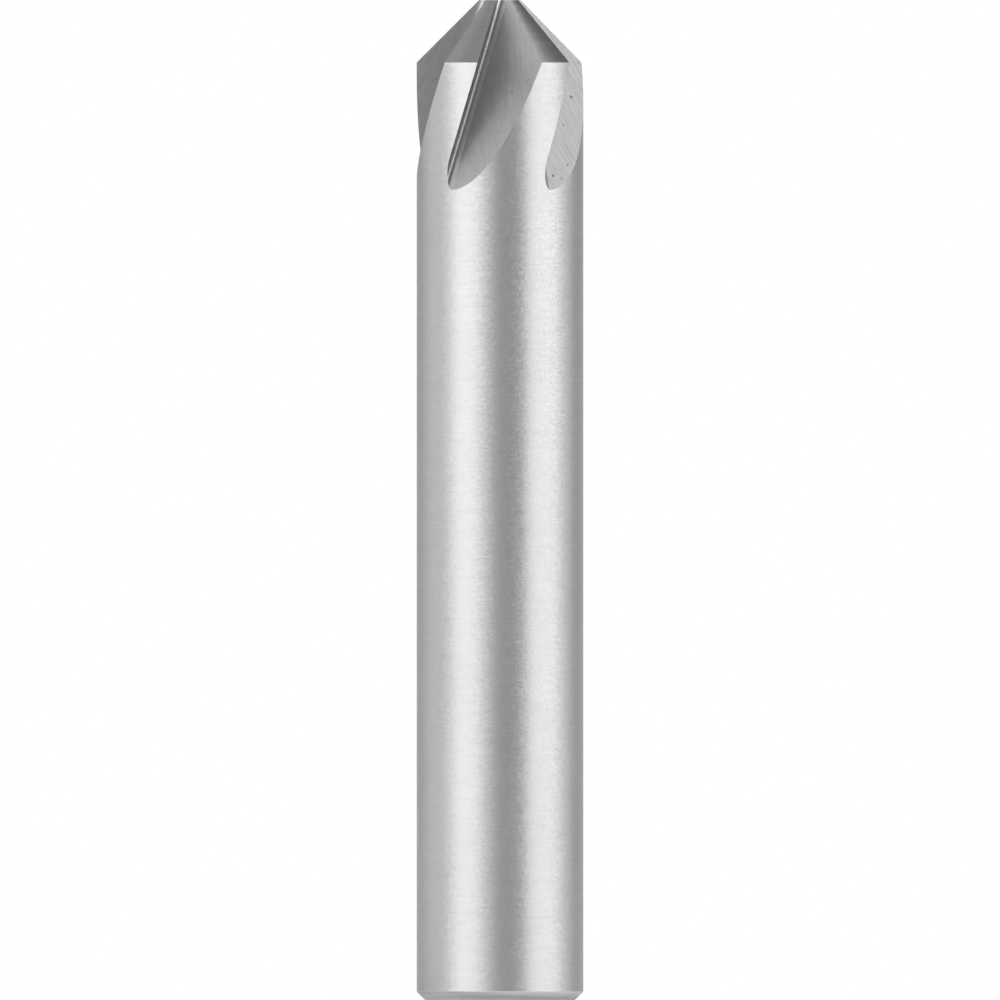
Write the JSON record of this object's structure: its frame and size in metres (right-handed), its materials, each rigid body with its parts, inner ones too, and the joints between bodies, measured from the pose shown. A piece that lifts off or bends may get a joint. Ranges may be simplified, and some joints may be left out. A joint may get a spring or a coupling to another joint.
{
  "type": "countersink bit",
  "caption": "Straight cylindrical countersink bit, full diameter from shank to head, with leaning flutes, a right-angle cutting cone, a small tip flat and a chamfered shank end.",
  "frame": {"origin": "centre of the flat shank end face, which the bit stands on", "axes": "+Z along the bit's axis from the shank end to the tip; -Y is the front, where one flute opens; +X to the right of that view"},
  "size_m": [0.0064, 0.0064, 0.0381],
  "materials": {
    "ground_tool_steel": "fine ground, with a faint speckle on the cylinder and grinding lines in the flutes and on the cone"
  },
  "bodies": {
    "root": {"countersink_bit": "ground_tool_steel"}
  },
  "joints": []
}
